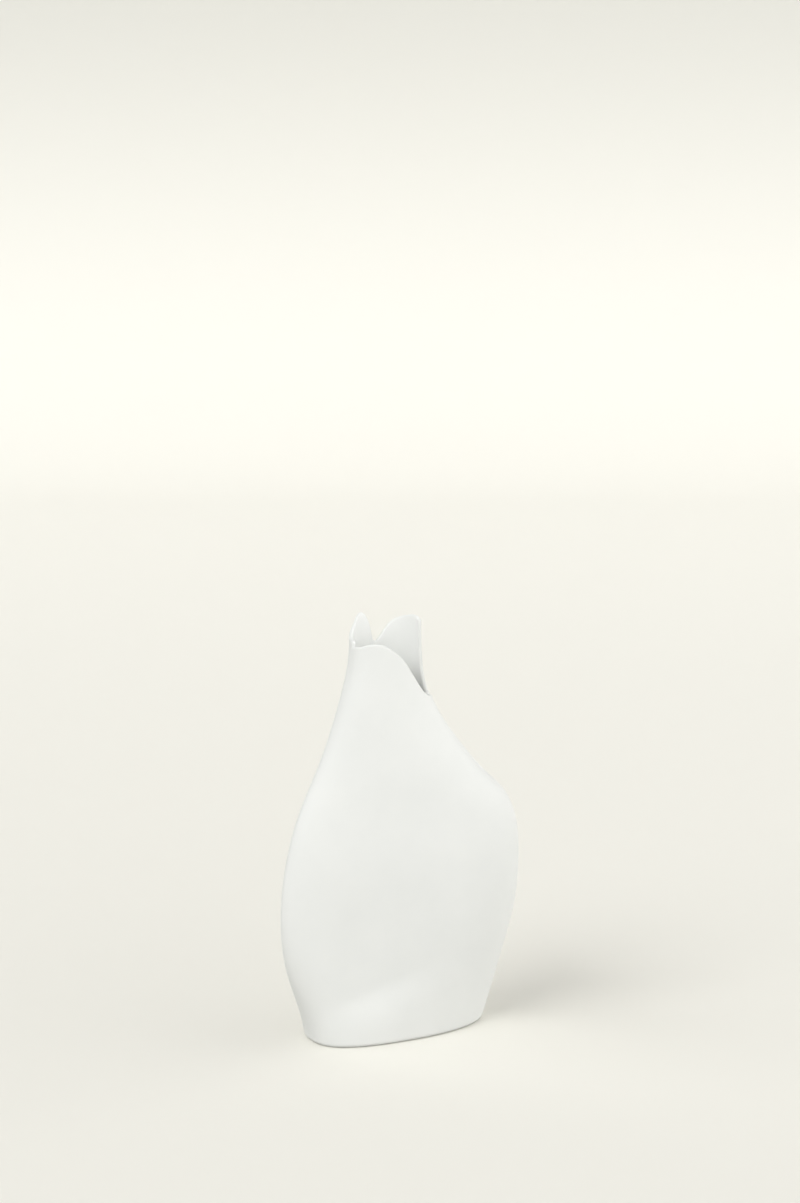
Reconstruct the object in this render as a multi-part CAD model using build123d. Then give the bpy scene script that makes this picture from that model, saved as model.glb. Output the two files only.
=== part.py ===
from build123d import *

import math
import os

# A pillow vase of matte white porcelain, in millimetres: two pillowed slabs stand on a base slab and meet
# along both sides. +Z is up, X runs along the width, the front slab faces -Y, and the side seams lie in Y = 0.
# The origin is the centre of the base, on the surface that the vase stands on.

# Overall sizes
HEIGHT = 202.6
BASE_LENGTH = 92.0
BASE_DEPTH = 45.0
BELLY_LEFT = 60.4
BELLY_RIGHT = 65.0
BELLY_DEPTH = 52.0
NECK_LEFT = 24.0
NECK_RIGHT = 14.1
NECK_DEPTH = 21.0

# Clay
WALL = 2.1
BASE_THICKNESS = 5.0
FOOT_RADIUS = 2.0
COIL_RADIUS = 2.0
COIL_RISE = 3.0
COIL_EASE = 0.6
COIL_BELOW_LIP = 6.0

# The hollow pressed into the front slab, which ends in a crease low on the left and fades out above
HOLLOW_DEPTH = 3.6
HOLLOW_X = -28.0
HOLLOW_Z = 26.0
HOLLOW_LENGTH = 30.0
HOLLOW_BELOW = 11.0
HOLLOW_ABOVE = 45.0
HOLLOW_TILT = 20.0

# The cut rim: heights are drops below the tip of the left ear
LIP_DROP = 11.9
LIP_FALL = 25.0
NOTCH_DROP = 14.0
LEFT_EAR_DROP = 13.0
RIGHT_EAR_DROP = 1.6
RIGHT_CORNER_DROP = 3.0

# How far each outline has come from the base (low) or from the neck (high) to the belly, by height
LEFT_LOW_SHARES = ((0.0, 0.0), (0.072, 0.27), (0.174, 0.78), (0.285, 1.0))
LEFT_HIGH_SHARES = ((0.43, 0.925), (0.553, 0.72), (0.666, 0.42), (0.768, 0.195), (0.871, 0.02), (1.03, 0.0))
RIGHT_LOW_SHARES = ((0.0, 0.0), (0.072, 0.25), (0.174, 0.575), (0.297, 0.915), (0.40, 1.0))
RIGHT_HIGH_SHARES = (
    (0.49, 0.975), (0.553, 0.872), (0.61, 0.647), (0.666, 0.445), (0.72, 0.278), (0.768, 0.152), (0.82, 0.063),
    (0.88, 0.018), (1.03, 0.0),
)
DEPTH_LOW_SHARES = ((0.0, 0.0), (0.072, 0.22), (0.174, 0.65), (0.31, 1.0))
DEPTH_HIGH_SHARES = ((0.43, 0.97), (0.553, 0.80), (0.666, 0.56), (0.768, 0.32))
FRONT_NECK_SHARES = ((0.871, 0.11), (1.03, -0.15))
BACK_NECK_SHARES = ((0.871, 0.16), (1.03, 0.58))

# How full the level sections are towards each seam, by height: 2 is an ellipse, and less is a sharper seam
LEFT_FULLNESS_SHARES = (
    (0.0, 2.7), (0.08, 2.35), (0.20, 1.9), (0.45, 1.75), (0.70, 1.85), (0.90, 2.3), (1.03, 2.4),
)
RIGHT_FULLNESS_SHARES = (
    (0.0, 2.1), (0.10, 2.2), (0.22, 2.3), (0.45, 2.3), (0.70, 2.1), (0.85, 1.8), (1.03, 1.7),
)

# Where the front slab stands out most, as a share of the way from the left seam to the right seam, by height
CREST_SHARES = ((0.0, 0.50), (0.10, 0.56), (0.22, 0.64), (0.45, 0.70), (0.70, 0.60), (0.90, 0.52), (1.03, 0.50))

# Rim outlines: places across the neck, from its left side to its right side, and shares of the drops
LIP_SHARES = (
    (0.02, 0.07), (0.08, 0.046), (0.13, 0.017), (0.185, 0.0), (0.24, 0.0), (0.30, 0.011), (0.36, 0.04),
    (0.423, 0.097), (0.488, 0.173), (0.553, 0.258), (0.622, 0.366), (0.69, 0.52), (0.78, 0.725), (0.855, 0.89),
    (1.06, 1.10),
)
LEFT_EAR_SHARES = (
    (-0.01, 1.0), (0.04, 0.82), (0.10, 0.60), (0.16, 0.43), (0.21, 0.29), (0.253, 0.13), (0.296, 0.03), (0.34, 0.0),
)
NOTCH_LEFT_SHARES = (
    (0.378, 0.055), (0.415, 0.19), (0.436, 0.37), (0.45, 0.58), (0.463, 0.80), (0.478, 0.95), (0.503, 1.0),
)
NOTCH_RIGHT_SHARES = (
    (0.535, 0.95), (0.585, 0.795), (0.64, 0.577), (0.693, 0.39), (0.745, 0.25), (0.80, 0.145), (0.87, 0.065),
    (0.94, 0.01),
)
RIGHT_EAR_SHARES = ((0.976, 0.02), (1.0, 0.45))

SECTION_POINTS = 14
SEAM_SHARE = 0.012
SECTION_COUNT = 16
FOOT_STEPS = 5
COIL_STEPS = 4
COIL_TURN = math.radians(70)
OVERRUN = 10.0


def reach_curve(base, belly, neck, low_shares, high_shares):
    """The outline of one side: how far it reaches from the middle, drawn along X, by height along Z."""
    low = [(base + share * (belly - base), 0, height * HEIGHT) for height, share in low_shares]
    high = [(neck + share * (belly - neck), 0, height * HEIGHT) for height, share in high_shares]
    return Spline(*low, *high)


left_curve = reach_curve(BASE_LENGTH / 2, BELLY_LEFT, NECK_LEFT, LEFT_LOW_SHARES, LEFT_HIGH_SHARES)
right_curve = reach_curve(BASE_LENGTH / 2, BELLY_RIGHT, NECK_RIGHT, RIGHT_LOW_SHARES, RIGHT_HIGH_SHARES)
front_curve, back_curve = (
    reach_curve(BASE_DEPTH / 2, BELLY_DEPTH / 2, NECK_DEPTH / 2, DEPTH_LOW_SHARES, DEPTH_HIGH_SHARES + neck_shares)
    for neck_shares in (FRONT_NECK_SHARES, BACK_NECK_SHARES)
)
left_fullness, right_fullness, crest_curve = (
    Spline(*[(value, 0, height * HEIGHT) for height, value in shares])
    for shares in (LEFT_FULLNESS_SHARES, RIGHT_FULLNESS_SHARES, CREST_SHARES)
)


def reach_at(curve, height, inset):
    """The reach of an outline at a height, taken in by a wall of the given thickness."""
    low, high = 0.0, 1.0
    for _ in range(40):
        middle = (low + high) / 2
        if (curve @ middle).Z < height:
            low = middle
        else:
            high = middle
    slant = abs((curve % low).Z)
    return (curve @ low).X - inset / slant


def hollow(x, z):
    """How far the front slab is pressed in at a place on it."""
    tilt = math.radians(HOLLOW_TILT)
    along = (x - HOLLOW_X) * math.cos(tilt) + (z - HOLLOW_Z) * math.sin(tilt)
    across = (z - HOLLOW_Z) * math.cos(tilt) - (x - HOLLOW_X) * math.sin(tilt)
    width = HOLLOW_BELOW if across < 0 else HOLLOW_ABOVE
    return HOLLOW_DEPTH * math.exp(-((along / HOLLOW_LENGTH) ** 2) - (across / width) ** 2)


def half_section(height, front, inset):
    """Half of a level section, from the left seam to the right seam round the front or the back."""
    left = reach_at(left_curve, height, inset)
    right = reach_at(right_curve, height, inset)
    depth = reach_at(front_curve if front else back_curve, height, inset)
    left_power = 2 / reach_at(left_fullness, height, 0.0)
    right_power = 2 / reach_at(right_fullness, height, 0.0)
    crest = (reach_at(crest_curve, height, 0.0) if front else 1 / 2) * (left + right) - left
    inner = [step / SECTION_POINTS for step in range(1, SECTION_POINTS)]
    points = [(-left, 0, height)]
    for share in (SEAM_SHARE, *inner, 1 - SEAM_SHARE):
        turn = math.pi * share
        power = left_power if share < 1 / 2 else right_power
        end = -left if share < 1 / 2 else right
        x = crest + (end - crest) * abs(math.cos(turn)) ** power
        bulge = math.sin(turn) ** power
        y = (hollow(x, height) - depth) * bulge if front else depth * bulge
        points.append((x, y, height))
    points.append((right, 0, height))
    return Spline(*points)


def heights(bottom):
    """Evenly spaced section heights from a floor to just above the rim."""
    top = HEIGHT + OVERRUN / 2
    return [bottom + (top - bottom) * step / SECTION_COUNT for step in range(SECTION_COUNT + 1)]


def filled_half(front, inset):
    """The front or back half of the vase above the base, filled, with its outline taken in by an inset."""
    sections = []
    for height in heights(BASE_THICKNESS):
        arch = half_section(height, front, inset)
        sections.append(Face(Wire([arch, Line(arch @ 1, arch @ 0)])))
    return loft(sections)


def across_neck(share):
    """A place along X, as a share of the way from the neck's left side to its right side."""
    return share * (NECK_LEFT + NECK_RIGHT) - NECK_LEFT


def above(points, front):
    """The space above a rim outline, on the front or the back of the seams."""
    rim = Spline(*points)
    left, right = (-NECK_LEFT - OVERRUN, 0, points[0][2]), (NECK_RIGHT + OVERRUN, 0, points[-1][2])
    top = HEIGHT + OVERRUN
    frame = Polyline((rim @ 1), right, (right[0], 0, top), (left[0], 0, top), left, (rim @ 0))
    return extrude(Face(Wire([rim, *frame.edges()])), amount=BELLY_DEPTH, dir=(0, -1 if front else 1, 0))


def lip_points():
    """The front slab's cut edge, which runs level from the left and then falls to the right."""
    return [(across_neck(place), 0, HEIGHT - LIP_DROP - fall * LIP_FALL) for place, fall in LIP_SHARES]


def ear_points():
    """The back slab's cut edge: an ear at each side, with a notch between them."""
    drops = [(place, share * LEFT_EAR_DROP) for place, share in LEFT_EAR_SHARES]
    drops += [(place, share * NOTCH_DROP) for place, share in NOTCH_LEFT_SHARES]
    rise = NOTCH_DROP - RIGHT_EAR_DROP
    drops += [(place, RIGHT_EAR_DROP + share * rise) for place, share in NOTCH_RIGHT_SHARES]
    drops += [(place, RIGHT_EAR_DROP + share * RIGHT_CORNER_DROP) for place, share in RIGHT_EAR_SHARES]
    return [(across_neck(place), 0, HEIGHT - drop) for place, drop in drops]


def level_section(height, inset):
    """A whole level section, with its outline taken in by an inset."""
    return Face(Wire([half_section(height, True, inset), half_section(height, False, inset)]))


def foot_sections():
    """Level sections of the base, from its rounded lower edge up to the walls."""
    sections = []
    for step in range(FOOT_STEPS + 1):
        turn = math.pi / 2 * step / FOOT_STEPS
        sections.append(level_section(FOOT_RADIUS * (1 - math.cos(turn)), FOOT_RADIUS * (1 - math.sin(turn))))
    sections.append(level_section(BASE_THICKNESS, 0.0))
    return sections


def base_coil():
    """The coil pressed round the inside of the walls where they stand on the base: close to a quarter round."""
    top = BASE_THICKNESS + COIL_RISE * math.sin(COIL_TURN)
    outside = [level_section(height, WALL + COIL_EASE) for height in (BASE_THICKNESS, top)]
    inside = [level_section(0.0, WALL + COIL_RISE)]
    for step in range(COIL_STEPS + 1):
        turn = COIL_TURN * step / COIL_STEPS
        height = BASE_THICKNESS + COIL_RISE * math.sin(turn)
        inside.append(level_section(height, WALL + COIL_RISE * math.cos(turn)))
    inside.append(level_section(top + OVERRUN, WALL + COIL_RISE * math.cos(COIL_TURN)))
    return loft(outside, ruled=True) - loft(inside, ruled=True)


def side_coil(curve, side, top):
    """A round coil that stands on the base coil and runs up the inside of a side seam to a height."""
    bottom = BASE_THICKNESS + COIL_RISE * math.sin(COIL_TURN)
    between = [height for height in heights(BASE_THICKNESS) if bottom + COIL_RISE < height < top - COIL_RISE]
    sections = []
    for height in (bottom, *between, top):
        reach = reach_at(curve, height, WALL + COIL_EASE) - COIL_RADIUS
        sections.append(Pos(side * reach, 0, height) * Circle(COIL_RADIUS))
    return loft(sections)


lip_left = HEIGHT - LIP_DROP
lip_right = lip_left - LIP_FALL
pieces = {
    "front_wall": filled_half(True, 0.0) - above(lip_points(), True) - filled_half(True, WALL),
    "back_wall": filled_half(False, 0.0) - above(ear_points(), False) - filled_half(False, WALL),
    "base_slab": loft(foot_sections(), ruled=True),
    "base_seam_coil": base_coil(),
    "left_seam_coil": side_coil(left_curve, -1, lip_left - COIL_BELOW_LIP),
    "right_seam_coil": side_coil(right_curve, 1, lip_right - COIL_BELOW_LIP),
}
os.makedirs("parts", exist_ok=True)
for name, piece in pieces.items():
    export_step(piece, f"parts/{name}.step")
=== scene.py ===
import math

import bmesh
import bpy
import numpy as np
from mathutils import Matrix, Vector


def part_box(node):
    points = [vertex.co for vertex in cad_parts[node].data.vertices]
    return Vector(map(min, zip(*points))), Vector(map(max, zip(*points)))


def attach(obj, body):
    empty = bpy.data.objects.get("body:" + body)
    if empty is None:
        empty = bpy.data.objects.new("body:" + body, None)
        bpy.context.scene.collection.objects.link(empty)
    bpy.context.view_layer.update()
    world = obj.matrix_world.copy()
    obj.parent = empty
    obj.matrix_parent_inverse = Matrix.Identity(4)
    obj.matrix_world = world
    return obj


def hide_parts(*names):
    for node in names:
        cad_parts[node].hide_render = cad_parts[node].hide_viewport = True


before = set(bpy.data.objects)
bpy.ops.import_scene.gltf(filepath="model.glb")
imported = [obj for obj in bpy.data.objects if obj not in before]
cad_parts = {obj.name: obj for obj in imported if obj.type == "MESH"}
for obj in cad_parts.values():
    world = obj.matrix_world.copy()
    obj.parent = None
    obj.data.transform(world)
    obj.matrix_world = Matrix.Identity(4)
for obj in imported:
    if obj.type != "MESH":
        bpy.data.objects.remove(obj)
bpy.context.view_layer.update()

# A pillow vase of matte white porcelain. Lengths are metres. +Z is up, X runs along the width, the front slab
# faces -Y, and the side seams lie in Y = 0.
MM = 0.001

# Sizes of the solids
front_low, front_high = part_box("front_wall")
back_low, back_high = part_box("back_wall")
base_low, base_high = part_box("base_slab")
BOX_EASE = 0.05 * MM
HEIGHT = back_high.z - BOX_EASE
BELLY_LEFT = -front_low.x - BOX_EASE
BELLY_RIGHT = 64.3 * MM
BELLY_DEPTH = 26 * MM
BASE_THICKNESS = base_high.z
BASE_LENGTH = 92 * MM
BASE_DEPTH = 45 * MM
NECK_LEFT = 24 * MM
NECK_RIGHT = 14.1 * MM
NECK_DEPTH = 21 * MM

# Clay
WALL = 2.1 * MM
FOOT_RADIUS = 2 * MM
COIL_WIDTH = 4.5 * MM
COIL_RISE = 2.6 * MM
COIL_SINK = 0.3 * MM
COIL_BELOW_LIP = 6 * MM

# Thumb marks along the side coils: a share of the coil's rise, a length along it, and a shift
COIL_LUMPS = ((0.10, 7 * MM, 0.0), (0.06, 3.1 * MM, 1.0))

# The hollow pressed into the front slab, which ends in a crease low on the left and fades out above
HOLLOW_DEPTH = 3.6 * MM
HOLLOW_X = -28 * MM
HOLLOW_Z = 26 * MM
HOLLOW_LENGTH = 30 * MM
HOLLOW_BELOW = 11 * MM
HOLLOW_ABOVE = 45 * MM
HOLLOW_TILT = math.radians(20)

# The cut rim: heights are drops below the tip of the left ear
LIP_DROP = 11.9 * MM
LIP_FALL = 25 * MM
NOTCH_DROP = 14 * MM
LEFT_EAR_DROP = 13 * MM
RIGHT_EAR_DROP = 1.6 * MM
RIGHT_CORNER_DROP = 3 * MM
EAR_CORNER = 1.5 * MM

# How far each outline has come from the base (low) or from the neck (high) to the belly, by height
LEFT_LOW_SHARES = ((0.0, 0.0), (0.072, 0.27), (0.174, 0.78), (0.285, 1.0))
LEFT_HIGH_SHARES = ((0.43, 0.925), (0.553, 0.72), (0.666, 0.42), (0.768, 0.195), (0.871, 0.02), (1.03, 0.0))
RIGHT_LOW_SHARES = ((0.0, 0.0), (0.072, 0.25), (0.174, 0.575), (0.297, 0.915), (0.40, 1.0))
RIGHT_HIGH_SHARES = (
    (0.49, 0.975), (0.553, 0.872), (0.61, 0.647), (0.666, 0.445), (0.72, 0.278), (0.768, 0.152), (0.82, 0.063),
    (0.88, 0.018), (1.03, 0.0),
)
DEPTH_LOW_SHARES = ((0.0, 0.0), (0.072, 0.22), (0.174, 0.65), (0.31, 1.0))
DEPTH_HIGH_SHARES = ((0.43, 0.97), (0.553, 0.80), (0.666, 0.56), (0.768, 0.32))
FRONT_NECK_SHARES = ((0.871, 0.11), (1.03, -0.15))
BACK_NECK_SHARES = ((0.871, 0.16), (1.03, 0.58))

# How full the level sections are at each end, by height: 2 is an ellipse, and less is a sharper seam
LEFT_FULLNESS = ((0.0, 2.7), (0.08, 2.35), (0.20, 1.9), (0.45, 1.75), (0.70, 1.85), (0.90, 2.3), (1.03, 2.4))
RIGHT_FULLNESS = ((0.0, 2.1), (0.10, 2.2), (0.22, 2.3), (0.45, 2.3), (0.70, 2.1), (0.85, 1.8), (1.03, 1.7))

# Where the front slab stands out most, as a share of the way from the left seam to the right seam, by height
CREST = ((0.0, 0.50), (0.10, 0.56), (0.22, 0.64), (0.45, 0.70), (0.70, 0.60), (0.90, 0.52), (1.03, 0.50))

# Rim outlines: places across the neck, from its left side to its right side, and shares of the drops
LIP_SHARES = (
    (0.02, 0.07), (0.08, 0.046), (0.13, 0.017), (0.185, 0.0), (0.24, 0.0), (0.30, 0.011), (0.36, 0.04),
    (0.423, 0.097), (0.488, 0.173), (0.553, 0.258), (0.622, 0.366), (0.69, 0.52), (0.78, 0.725), (0.855, 0.89),
    (1.06, 1.10),
)
LEFT_EAR_SHARES = (
    (-0.01, 1.0), (0.04, 0.82), (0.10, 0.60), (0.16, 0.43), (0.21, 0.29), (0.253, 0.13), (0.296, 0.03), (0.34, 0.0),
)
NOTCH_LEFT_SHARES = (
    (0.378, 0.055), (0.415, 0.19), (0.436, 0.37), (0.45, 0.58), (0.463, 0.80), (0.478, 0.95), (0.503, 1.0),
)
NOTCH_RIGHT_SHARES = (
    (0.535, 0.95), (0.585, 0.795), (0.64, 0.577), (0.693, 0.39), (0.745, 0.25), (0.80, 0.145), (0.87, 0.065),
    (0.94, 0.01),
)
RIGHT_EAR_SHARES = ((0.976, 0.02), (1.0, 0.45))

# Fineness of the meshes
WALL_ROWS = 150
WALL_COLUMNS = 130
FOOT_ROWS = (0.0, 0.0005, 0.002)
FIRST_ROW = 0.006
COIL_ROWS = 90
COIL_COLUMNS = 17
ROUND_STEPS = 8
CURVE_POINTS = 2000
RIM_SEARCH_STEPS = 40
RIM_SEARCH_TOP = 1.02
LEAST_LEAN = 0.25
TURN_STEP = 1e-4
HEIGHT_STEP = 0.1 * MM
FLANK_HEIGHTS = (BASE_THICKNESS, BASE_THICKNESS - 0.05 * MM, BASE_THICKNESS - 0.3 * MM, 4 * MM, 3 * MM)
FACE_SHARES = (0.75, 0.5, 0.25)
WELD_DISTANCE = 1e-7
ROUND_SHARES = np.array([0.0, 0.02, 0.08, 0.18, 0.32, 0.5, 0.72, 1.0])
SHARP_ANGLE = math.radians(50)


def smooth_curve(points):
    """Places along a smooth curve through the given points, closely spaced."""
    knots = np.array(points, dtype=float)
    steps = np.linalg.norm(np.diff(knots, axis=0), axis=1)
    places = np.concatenate(([0.0], np.cumsum(steps)))
    rates = np.diff(knots, axis=0) / steps[:, None]
    count = len(knots)
    matrix = np.zeros((count, count))
    target = np.zeros_like(knots)
    for end, nearest in ((0, slice(0, 4)), (count - 1, slice(count - 4, count))):
        matrix[end, end] = 1.0
        target[end] = np.polyfit(places[nearest] - places[end], knots[nearest], 3)[2]
    for i in range(1, count - 1):
        matrix[i, i - 1:i + 2] = steps[i], 2 * (steps[i - 1] + steps[i]), steps[i - 1]
        target[i] = 3 * (steps[i] * rates[i - 1] + steps[i - 1] * rates[i])
    slopes = np.linalg.solve(matrix, target)
    at = np.linspace(0.0, places[-1], CURVE_POINTS)
    span = np.clip(np.searchsorted(places, at, side="right") - 1, 0, count - 2)
    step = steps[span][:, None]
    share = (at - places[span])[:, None] / step
    rest = 1 - share
    return (
        knots[span] * rest**2 * (1 + 2 * share) + knots[span + 1] * share**2 * (1 + 2 * rest)
        + slopes[span] * step * share * rest**2 - slopes[span + 1] * step * share**2 * rest
    )


def reach_curve(base, belly, neck, low_shares, high_shares):
    """The outline of one side: heights, and how far it reaches from the middle."""
    low = [(height * HEIGHT, base + share * (belly - base)) for height, share in low_shares]
    high = [(height * HEIGHT, neck + share * (belly - neck)) for height, share in high_shares]
    return smooth_curve(low + high)


left_curve = reach_curve(BASE_LENGTH / 2, BELLY_LEFT, NECK_LEFT, LEFT_LOW_SHARES, LEFT_HIGH_SHARES)
right_curve = reach_curve(BASE_LENGTH / 2, BELLY_RIGHT, NECK_RIGHT, RIGHT_LOW_SHARES, RIGHT_HIGH_SHARES)
front_curve, back_curve = (
    reach_curve(BASE_DEPTH / 2, BELLY_DEPTH, NECK_DEPTH / 2, DEPTH_LOW_SHARES, DEPTH_HIGH_SHARES + neck_shares)
    for neck_shares in (FRONT_NECK_SHARES, BACK_NECK_SHARES)
)
left_fullness = smooth_curve([(height * HEIGHT, fullness * MM) for height, fullness in LEFT_FULLNESS])
right_fullness = smooth_curve([(height * HEIGHT, fullness * MM) for height, fullness in RIGHT_FULLNESS])
crest_curve = smooth_curve([(height * HEIGHT, share * MM) for height, share in CREST])


def reach(curve, z):
    """The reach of an outline at a height."""
    return np.interp(z, curve[:, 0], curve[:, 1])


def hollow(x, z):
    """How far the front slab is pressed in at a place on it."""
    along = (x - HOLLOW_X) * math.cos(HOLLOW_TILT) + (z - HOLLOW_Z) * math.sin(HOLLOW_TILT)
    across = (z - HOLLOW_Z) * math.cos(HOLLOW_TILT) - (x - HOLLOW_X) * math.sin(HOLLOW_TILT)
    width = np.where(across < 0, HOLLOW_BELOW, HOLLOW_ABOVE)
    return HOLLOW_DEPTH * np.exp(-((along / HOLLOW_LENGTH) ** 2) - (across / width) ** 2)


def surface(turn, z, front):
    """Points of the outside. The turn runs from 0 at the left seam to pi at the right seam."""
    left, right, depth = reach(left_curve, z), reach(right_curve, z), reach(front_curve if front else back_curve, z)
    power = 2 * MM / np.where(turn < math.pi / 2, reach(left_fullness, z), reach(right_fullness, z))
    cosine = np.cos(turn)
    crest = (reach(crest_curve, z) / MM if front else 1 / 2) * (left + right) - left
    x = crest - np.where(turn < math.pi / 2, crest + left, crest - right) * np.abs(cosine) ** power
    bulge = np.clip(np.sin(turn), 0.0, 1.0) ** power
    y = (hollow(x, z) - depth) * bulge if front else depth * bulge
    return np.stack((x, y, z), axis=-1)


def outward(turn, z, front):
    """Unit normals of the outside."""
    across = surface(np.minimum(turn + TURN_STEP, math.pi), z, front)
    across = across - surface(np.maximum(turn - TURN_STEP, 0.0), z, front)
    up = surface(turn, z + HEIGHT_STEP, front) - surface(turn, z - HEIGHT_STEP, front)
    normal = np.cross(across, up) if front else np.cross(up, across)
    return normal / np.linalg.norm(normal, axis=-1, keepdims=True)


def seam_turn(offset, z, fullness, front):
    """The turn from a seam at which the outside lies a given distance from the plane of the seams."""
    depth = reach(front_curve if front else back_curve, z)
    return np.arcsin((offset / depth) ** (reach(fullness, z) / MM / 2))


def column_turns(z, front):
    """Turns of the mesh columns at some heights: close together at both seams and even in between."""
    offsets = ROUND_SHARES * WALL / 2
    left = [seam_turn(offset, z, left_fullness, front) for offset in offsets]
    right = [math.pi - seam_turn(offset, z, right_fullness, front) for offset in offsets[::-1]]
    shares = np.linspace(0.0, 1.0, WALL_COLUMNS)[1:-1]
    between = [left[-1] + share * (right[0] - left[-1]) for share in shares]
    return np.stack(left + between + right, axis=-1)


def across_neck(share):
    """A place along X, as a share of the way from the neck's left side to its right side."""
    return share * (NECK_LEFT + NECK_RIGHT) - NECK_LEFT


def lip_curve():
    """The front slab's cut edge, which runs level from the left and then falls to the right."""
    return smooth_curve([(across_neck(place), HEIGHT - LIP_DROP - fall * LIP_FALL) for place, fall in LIP_SHARES])


def ear_curve():
    """The back slab's cut edge: an ear at each side, with a notch between them."""
    drops = [(place, share * LEFT_EAR_DROP) for place, share in LEFT_EAR_SHARES]
    drops += [(place, share * NOTCH_DROP) for place, share in NOTCH_LEFT_SHARES]
    rise = NOTCH_DROP - RIGHT_EAR_DROP
    drops += [(place, RIGHT_EAR_DROP + share * rise) for place, share in NOTCH_RIGHT_SHARES]
    drops += [(place, RIGHT_EAR_DROP + share * RIGHT_CORNER_DROP) for place, share in RIGHT_EAR_SHARES]
    return smooth_curve([(across_neck(place), HEIGHT - drop) for place, drop in drops])


def rim_heights(rim, front):
    """The height at which each mesh column meets a rim outline, rounded off towards bare seams."""
    count = column_turns(np.array([HEIGHT]), front).shape[1]
    low, high = np.full(count, HEIGHT / 2), np.full(count, HEIGHT * RIM_SEARCH_TOP)
    pick = np.arange(count)
    for _ in range(RIM_SEARCH_STEPS):
        middle = (low + high) / 2
        x = surface(column_turns(middle, front)[pick, pick], middle, front)[:, 0]
        below = middle < np.interp(x, rim[:, 0], rim[:, 1])
        low, high = np.where(below, middle, low), np.where(below, high, middle)
    if front:
        return low
    offset = np.abs(surface(column_turns(low, front)[pick, pick], low, front)[:, 1])
    share = np.clip(1 - offset / EAR_CORNER, 0.0, 1.0)
    return low - EAR_CORNER * (1 - np.sqrt(1 - share**2))


def roundness(distance):
    """Share of the wall's full thickness at a distance from its half-round edge."""
    share = np.clip(distance / (WALL / 2), 0.0, 1.0)
    return np.sqrt(1 - (1 - share) ** 2)


def make_object(name, vertices, faces):
    """A smooth-shaded mesh object with its edges welded, and its corners kept sharp."""
    mesh = bpy.data.meshes.new(name)
    work = bmesh.new()
    corners = [work.verts.new(vertex) for vertex in vertices]
    for face in faces:
        work.faces.new([corners[index] for index in face])
    bmesh.ops.remove_doubles(work, verts=work.verts, dist=WELD_DISTANCE)
    bmesh.ops.dissolve_degenerate(work, edges=work.edges, dist=WELD_DISTANCE / 10)
    bmesh.ops.recalc_face_normals(work, faces=work.faces)
    for face in work.faces:
        face.smooth = True
    for edge in work.edges:
        edge.smooth = edge.calc_face_angle(0.0) < SHARP_ANGLE
    work.to_mesh(mesh)
    work.free()
    piece = bpy.data.objects.new(name, mesh)
    bpy.context.scene.collection.objects.link(piece)
    return piece


def grid_faces(rows, columns, start=0, closed=False):
    """Quads of a grid of vertices that are numbered row by row."""
    faces = []
    for row in range(rows - 1):
        for column in range(columns if closed else columns - 1):
            following = (column + 1) % columns
            low, high = start + row * columns, start + (row + 1) * columns
            faces.append((low + column, low + following, high + following, high + column))
    return faces


def wall(name, rim, front, lip_ends):
    """One pillowed slab: an outer and an inner skin that meet in a half-round cut edge."""
    top = rim_heights(rim, front)
    pick = np.arange(len(top))
    top_turns = column_turns(top, front)[pick, pick]
    ends = surface(top_turns, top, front)
    top = top + np.minimum(outward(top_turns, top, front)[:, 2], 0.0) * WALL
    run = np.maximum(np.linalg.norm(np.gradient(ends[:, :2], axis=0), axis=1), 1e-9)
    lean = np.clip(1 / np.sqrt(1 + (np.gradient(top) / run) ** 2), LEAST_LEAN, 1.0)
    edge_depths = ROUND_SHARES[::-1] * WALL / 2
    shoulder = top - edge_depths[0] / lean
    rise = np.concatenate((FOOT_ROWS, np.linspace(FIRST_ROW, 1.0, WALL_ROWS)))
    rows = [BASE_THICKNESS + share * (shoulder - BASE_THICKNESS) for share in rise]
    rows += [top - depth / lean for depth in edge_depths[1:]]
    z = np.array(rows)
    turn = np.array([column_turns(row, front)[pick, pick] for row in z])
    points, normals = surface(turn, z, front), outward(turn, z, front)
    thick = np.ones_like(z)
    thick[-len(edge_depths):] = roundness(edge_depths)[:, None]
    if not front:
        offset = np.abs(points[..., 1])
        lip = np.where(turn < math.pi / 2, lip_ends[0], lip_ends[1])
        thick = np.minimum(thick, roundness(np.hypot(offset, np.maximum(lip - z, 0.0))))
    middle = points - normals * WALL / 2
    outer = middle + normals * (thick * WALL / 2)[..., None]
    inner = middle - normals * (thick * WALL / 2)[..., None]
    row_count, column_count = z.shape
    total = row_count * column_count
    faces = grid_faces(row_count, column_count) + grid_faces(row_count, column_count, total)
    for row in range(row_count - 1):
        for side in (0, column_count - 1):
            low, high = row * column_count + side, (row + 1) * column_count + side
            faces.append((low, high, high + total, low + total))
    for column in range(column_count - 1):
        faces.append((column, column + 1, column + 1 + total, column + total))
    return make_object(name, np.concatenate((outer.reshape(-1, 3), inner.reshape(-1, 3))), faces)


def ring(z, inset):
    """A whole level section, from the left seam round the back and then the front, taken in by an inset."""
    sides = []
    for front in (False, True):
        turns = column_turns(np.array([z]), front)[0]
        level = np.full_like(turns, z)
        points = surface(turns, level, front)
        flat = outward(turns, level, front)[:, :2]
        flat = flat / np.linalg.norm(flat, axis=1, keepdims=True)
        points[:, :2] -= flat * inset
        sides.append(points)
    return np.concatenate((sides[0], sides[1][-2:0:-1]))


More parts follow.
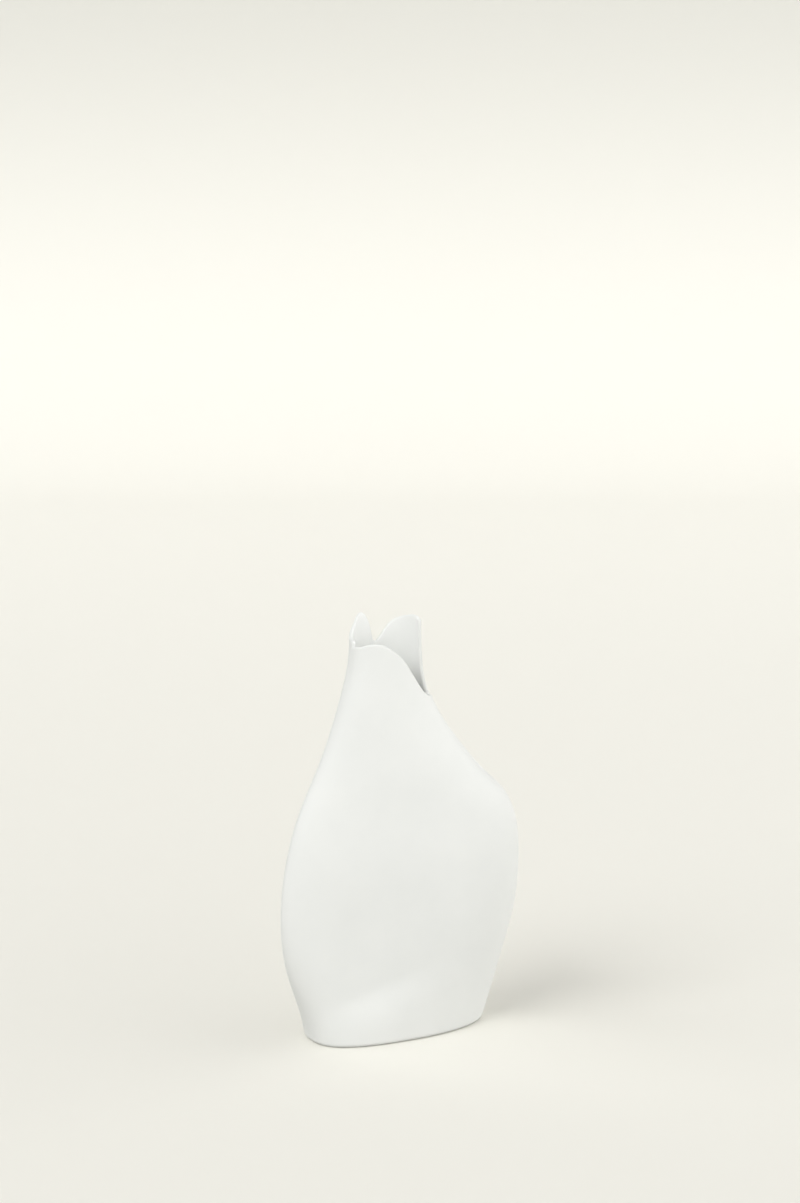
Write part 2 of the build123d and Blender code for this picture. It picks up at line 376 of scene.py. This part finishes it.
def base():
    """The base slab: flank, rounded lower edge, and flat faces below and above."""
    rings = [ring(BASE_THICKNESS, WALL)]
    for z in FLANK_HEIGHTS:
        rings.append(ring(z, 0.0))
    for step in range(ROUND_STEPS + 1):
        turn = math.pi / 2 * step / ROUND_STEPS
        rings.append(ring(FOOT_RADIUS * (1 - math.sin(turn)), FOOT_RADIUS * (1 - math.cos(turn))))
    count = len(rings[0])
    centre_top, centre_bottom = Vector((0, 0, BASE_THICKNESS)), Vector((0, 0, 0))
    inner_top, inner_bottom = rings[0], rings[-1]
    tops = [inner_top * share + np.array(centre_top) * (1 - share) for share in FACE_SHARES[::-1]]
    bottoms = [inner_bottom * share + np.array(centre_bottom) * (1 - share) for share in FACE_SHARES]
    rings = tops + rings + bottoms
    vertices = np.concatenate(rings + [np.array([centre_top, centre_bottom])])
    faces = grid_faces(len(rings), count, closed=True)
    last = (len(rings) - 1) * count
    middle_top, middle_bottom = len(rings) * count, len(rings) * count + 1
    for column in range(count):
        following = (column + 1) % count
        faces.append((column, following, middle_top))
        faces.append((last + column, last + following, middle_bottom))
    return make_object("base", vertices, faces)


def side_coil(name, left, top):
    """A coil of clay smoothed over a side seam inside the vase."""
    fullness = left_fullness if left else right_fullness
    heights = np.linspace(BASE_THICKNESS + COIL_RISE / 2, top, COIL_ROWS)
    across = np.linspace(-1.0, 1.0, COIL_COLUMNS)
    skin, bed = [], []
    for z in heights:
        taper = min(1.0, math.sqrt(max(top - z, 0.0) / COIL_WIDTH))
        lump = 1 + sum(share * math.sin(z / length + shift) for share, length, shift in COIL_LUMPS)
        for share in across:
            front = share < 0
            level = np.array([z])
            turn = seam_turn(np.array([abs(share) * COIL_WIDTH]), level, fullness, front)
            turn = turn if left else math.pi - turn
            point = surface(turn, level, front)[0]
            normal = outward(turn, level, front)[0]
            rise = COIL_RISE * taper * lump * math.cos(math.pi / 2 * share) ** 2
            skin.append(point - normal * (WALL + rise))
            bed.append(point - normal * (WALL - COIL_SINK))
    rows, columns = len(heights), len(across)
    total = rows * columns
    faces = grid_faces(rows, columns) + grid_faces(rows, columns, total)
    for row in range(rows - 1):
        for side in (0, columns - 1):
            low, high = row * columns + side, (row + 1) * columns + side
            faces.append((low, high, high + total, low + total))
    for row in (0, rows - 1):
        for column in range(columns - 1):
            start = row * columns + column
            faces.append((start, start + 1, start + 1 + total, start + total))
    return make_object(name, skin + bed, faces)


def base_coil():
    """A coil of clay pressed round the inside, where the walls stand on the base."""
    rings = [ring(BASE_THICKNESS - COIL_SINK, WALL - COIL_SINK)]
    for step in range(ROUND_STEPS + 1):
        turn = math.pi / 2 * step / ROUND_STEPS
        rings.append(ring(BASE_THICKNESS + COIL_RISE * math.sin(turn), WALL + COIL_RISE * math.cos(turn)))
    rings.append(ring(BASE_THICKNESS + COIL_RISE, WALL - COIL_SINK))
    rings.append(rings[0])
    return make_object("base_coil", np.concatenate(rings), grid_faces(len(rings), len(rings[0]), closed=True))


# Materials: colours are linear
PORCELAIN_DEEP = (0.835, 0.848, 0.825, 1)
PORCELAIN_PALE = (0.865, 0.876, 0.852, 1)
PORCELAIN_ROUGHNESS = (0.55, 0.72)
FLOOR_SEEN = (0.89, 0.878, 0.813, 1)
# Painted shade: the backdrop's seen colour is darker than the floor's, to even out the stronger light that falls on
# the backdrop
BACKDROP_PAINTED_SHADE = (0.73, 0.724, 0.673, 1)
FLOOR_BOUNCE = (0.50, 0.495, 0.46, 1)
BACKDROP_BOUNCE = (0.93, 0.925, 0.90, 1)
BACKDROP_RISE = (0.1, 0.9)


def node(tree, kind, place, **values):
    """A shader node with some of its settings and input values."""
    made = tree.nodes.new(kind)
    made.location = place
    for key, value in values.items():
        if key in made.inputs:
            made.inputs[key].default_value = value
        else:
            setattr(made, key, value)
    return made


def porcelain():
    """Matte white porcelain, fired without a glaze: a fine grain, soft waves and a little change of tone."""
    material = bpy.data.materials.new("bisque_porcelain")
    material.use_nodes = True
    tree = material.node_tree
    shader = tree.nodes["Principled BSDF"]
    shader.inputs["Specular IOR Level"].default_value = 0.35
    place = node(tree, "ShaderNodeTexCoord", (-1200, 0))
    cloud = node(tree, "ShaderNodeTexNoise", (-900, 250), Scale=35.0, Detail=4.0, Roughness=0.5)
    grain = node(tree, "ShaderNodeTexNoise", (-900, -50), Scale=2600.0, Detail=2.0, Roughness=0.6)
    wave = node(tree, "ShaderNodeTexNoise", (-900, -350), Scale=90.0, Detail=2.0, Roughness=0.4)
    tone = node(tree, "ShaderNodeValToRGB", (-600, 250))
    tone.color_ramp.elements[0].position = 0.3
    tone.color_ramp.elements[1].position = 0.7
    tone.color_ramp.elements[0].color = PORCELAIN_DEEP
    tone.color_ramp.elements[1].color = PORCELAIN_PALE
    matt = node(tree, "ShaderNodeMapRange", (-600, 0))
    matt.inputs["To Min"].default_value, matt.inputs["To Max"].default_value = PORCELAIN_ROUGHNESS
    fine = node(tree, "ShaderNodeBump", (-300, -100), Strength=0.12, Distance=0.05 * MM)
    soft = node(tree, "ShaderNodeBump", (-500, -300), Strength=0.12, Distance=0.4 * MM)
    for texture in (cloud, grain, wave):
        tree.links.new(place.outputs["Object"], texture.inputs["Vector"])
    tree.links.new(cloud.outputs["Fac"], tone.inputs["Fac"])
    tree.links.new(tone.outputs["Color"], shader.inputs["Base Color"])
    tree.links.new(grain.outputs["Fac"], matt.inputs["Value"])
    tree.links.new(matt.outputs["Result"], shader.inputs["Roughness"])
    tree.links.new(wave.outputs["Fac"], soft.inputs["Height"])
    tree.links.new(grain.outputs["Fac"], fine.inputs["Height"])
    tree.links.new(soft.outputs["Normal"], fine.inputs["Normal"])
    tree.links.new(fine.outputs["Normal"], shader.inputs["Normal"])
    return material


def paper():
    """The warm pale paper that the vase stands on, which bounces less light than the camera sees in it. The colour
    the camera sees darkens up the backdrop, as painted shade that evens out the stronger light falling there.
    """
    material = bpy.data.materials.new("studio_paper")
    material.use_nodes = True
    tree = material.node_tree
    shader = tree.nodes["Principled BSDF"]
    seen = node(tree, "ShaderNodeLightPath", (-700, 0))
    mirrored = node(tree, "ShaderNodeMath", (-500, 0), operation="MAXIMUM")
    through = node(tree, "ShaderNodeMath", (-350, 0), operation="MAXIMUM")
    tint = node(tree, "ShaderNodeMix", (-200, 0), data_type="RGBA")
    bounce = node(tree, "ShaderNodeMix", (-400, 200), data_type="RGBA")
    bounce.inputs["A"].default_value = FLOOR_BOUNCE
    bounce.inputs["B"].default_value = BACKDROP_BOUNCE
    place = node(tree, "ShaderNodeTexCoord", (-1000, -200))
    parts = node(tree, "ShaderNodeSeparateXYZ", (-800, -200))
    # Painted shade: the seen colour darkens with height, from the floor's up to the backdrop's darker one
    rise = node(tree, "ShaderNodeMapRange", (-600, -200), interpolation_type="SMOOTHSTEP")
    rise.inputs["From Min"].default_value, rise.inputs["From Max"].default_value = BACKDROP_RISE
    shade = node(tree, "ShaderNodeMix", (-400, -200), data_type="RGBA")
    shade.inputs["A"].default_value = FLOOR_SEEN
    shade.inputs["B"].default_value = BACKDROP_PAINTED_SHADE
    tree.links.new(place.outputs["Object"], parts.inputs["Vector"])
    tree.links.new(parts.outputs["Z"], rise.inputs["Value"])
    tree.links.new(rise.outputs["Result"], shade.inputs["Factor"])
    tree.links.new(rise.outputs["Result"], bounce.inputs["Factor"])
    tree.links.new(bounce.outputs["Result"], tint.inputs["A"])
    tree.links.new(shade.outputs["Result"], tint.inputs["B"])
    tree.links.new(seen.outputs["Is Camera Ray"], mirrored.inputs[0])
    tree.links.new(seen.outputs["Is Glossy Ray"], mirrored.inputs[1])
    tree.links.new(mirrored.outputs["Value"], through.inputs[0])
    tree.links.new(seen.outputs["Is Transmission Ray"], through.inputs[1])
    tree.links.new(through.outputs["Value"], tint.inputs["Factor"])
    tree.links.new(tint.outputs["Result"], shader.inputs["Base Color"])
    shader.inputs["Roughness"].default_value = 0.9
    shader.inputs["Specular IOR Level"].default_value = 0.1
    return material


# The vase
lip = lip_curve()
lip_ends = (lip[0, 1], float(np.interp(NECK_RIGHT, lip[:, 0], lip[:, 1])))
pieces = {
    "front_wall": wall("front", lip, True, lip_ends),
    "back_wall": wall("back", ear_curve(), False, lip_ends),
    "base_slab": base(),
    "base_seam_coil": base_coil(),
    "left_seam_coil": side_coil("left_coil", True, lip_ends[0] - COIL_BELOW_LIP),
    "right_seam_coil": side_coil("right_coil", False, lip_ends[1] - COIL_BELOW_LIP),
}
clay = porcelain()
for solid, piece in pieces.items():
    piece.data.materials.append(clay)
    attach(piece, "root")
    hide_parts(solid)

# Camera
CAMERA_PLACE = (-0.5229, -0.9880, 0.3857)
CAMERA_PITCH = math.radians(81)
CAMERA_HEADING = math.radians(-28)
CAMERA_LENS = 71.8
SENSOR_WIDTH = 36.0
camera_data = bpy.data.cameras.new("camera")
camera_data.lens = CAMERA_LENS
camera_data.sensor_width = SENSOR_WIDTH
camera = bpy.data.objects.new("camera", camera_data)
camera.location = CAMERA_PLACE
camera.rotation_euler = (CAMERA_PITCH, 0.0, CAMERA_HEADING)
bpy.context.scene.collection.objects.link(camera)
bpy.context.scene.camera = camera

# Paper sweep: a floor that curves up into a backdrop behind the vase
SWEEP_WIDTH = 8.0
SWEEP_FRONT = -3.0
SWEEP_BACK = 2.2
SWEEP_CURVE = 1.0
SWEEP_TOP = 3.0
SWEEP_STEPS = 32
profile = [(SWEEP_FRONT, 0.0)]
for step in range(SWEEP_STEPS + 1):
    turn = math.pi / 2 * step / SWEEP_STEPS
    profile.append((SWEEP_BACK + SWEEP_CURVE * math.sin(turn), SWEEP_CURVE * (1 - math.cos(turn))))
profile.append((SWEEP_BACK + SWEEP_CURVE, SWEEP_TOP))
sweep_vertices = [(side * SWEEP_WIDTH / 2, y, z) for y, z in profile for side in (-1, 1)]
sweep_faces = [(2 * i, 2 * i + 1, 2 * i + 3, 2 * i + 2) for i in range(len(profile) - 1)]
sweep = make_object("paper_sweep", sweep_vertices, sweep_faces)
sweep.rotation_euler = (0.0, 0.0, CAMERA_HEADING)
sweep.data.materials.append(paper())

# Light: a bright band round the room near the horizon that leans to one side, a dimmer ceiling, and soft lamps.
# A side is an angle in degrees from straight behind the vase: 90 is to the camera's left and -90 to its right.
BAND_LEVEL = 1.26
BAND_TOP = 0.5
BAND_SOFTNESS = 0.3
CEILING_LEVEL = 0.15
BAND_LEAN = 1.0
LEAN_SIDE = -90.0
SIDE_LAMPS = (
    ("left_lamp", 90.0, 40.0, 0.6), ("front_lamp", 135.0, 40.0, 1.55), ("right_lamp", -75.0, 55.0, 0.25),
)
LAMP_ANGLE = math.radians(40)
ROOM_COLOUR = (1.0, 0.995, 0.985, 1)
world = bpy.data.worlds.new("studio")
bpy.context.scene.world = world
world.use_nodes = True
tree = world.node_tree
room = tree.nodes["Background"]
room.inputs["Color"].default_value = ROOM_COLOUR
direction = node(tree, "ShaderNodeTexCoord", (-1000, 0))
parts = node(tree, "ShaderNodeSeparateXYZ", (-800, 100))
level = node(tree, "ShaderNodeMapRange", (-600, 100), interpolation_type="SMOOTHSTEP")
level.inputs["From Min"].default_value = BAND_TOP - BAND_SOFTNESS
level.inputs["From Max"].default_value = BAND_TOP + BAND_SOFTNESS
level.inputs["To Min"].default_value = BAND_LEVEL
level.inputs["To Max"].default_value = CEILING_LEVEL
lean_heading = CAMERA_HEADING + math.radians(LEAN_SIDE)
side_dot = node(tree, "ShaderNodeVectorMath", (-800, -150), operation="DOT_PRODUCT")
side_dot.inputs[1].default_value = (-math.sin(lean_heading), math.cos(lean_heading), 0.0)
lean = node(tree, "ShaderNodeMath", (-600, -150), operation="MULTIPLY_ADD")
lean.inputs[1].default_value = BAND_LEAN
lean.inputs[2].default_value = 1.0
strength = node(tree, "ShaderNodeMath", (-400, 0), operation="MULTIPLY", use_clamp=False)
tree.links.new(direction.outputs["Generated"], parts.inputs["Vector"])
tree.links.new(direction.outputs["Generated"], side_dot.inputs[0])
tree.links.new(parts.outputs["Z"], level.inputs["Value"])
tree.links.new(side_dot.outputs["Value"], lean.inputs[0])
tree.links.new(level.outputs["Result"], strength.inputs[0])
tree.links.new(lean.outputs["Value"], strength.inputs[1])
tree.links.new(strength.outputs["Value"], room.inputs["Strength"])
for name, side, elevation, energy in SIDE_LAMPS:
    lamp = bpy.data.lights.new(name, "SUN")
    lamp.energy = energy
    lamp.angle = LAMP_ANGLE
    holder = bpy.data.objects.new(name, lamp)
    heading = CAMERA_HEADING + math.radians(side)
    rise = math.radians(elevation)
    source = Vector((-math.sin(heading) * math.cos(rise), math.cos(heading) * math.cos(rise), math.sin(rise)))
    holder.rotation_euler = source.to_track_quat("Z", "Y").to_euler()
    holder.location = source
    bpy.context.scene.collection.objects.link(holder)

bpy.context.scene.view_settings.view_transform = "Standard"
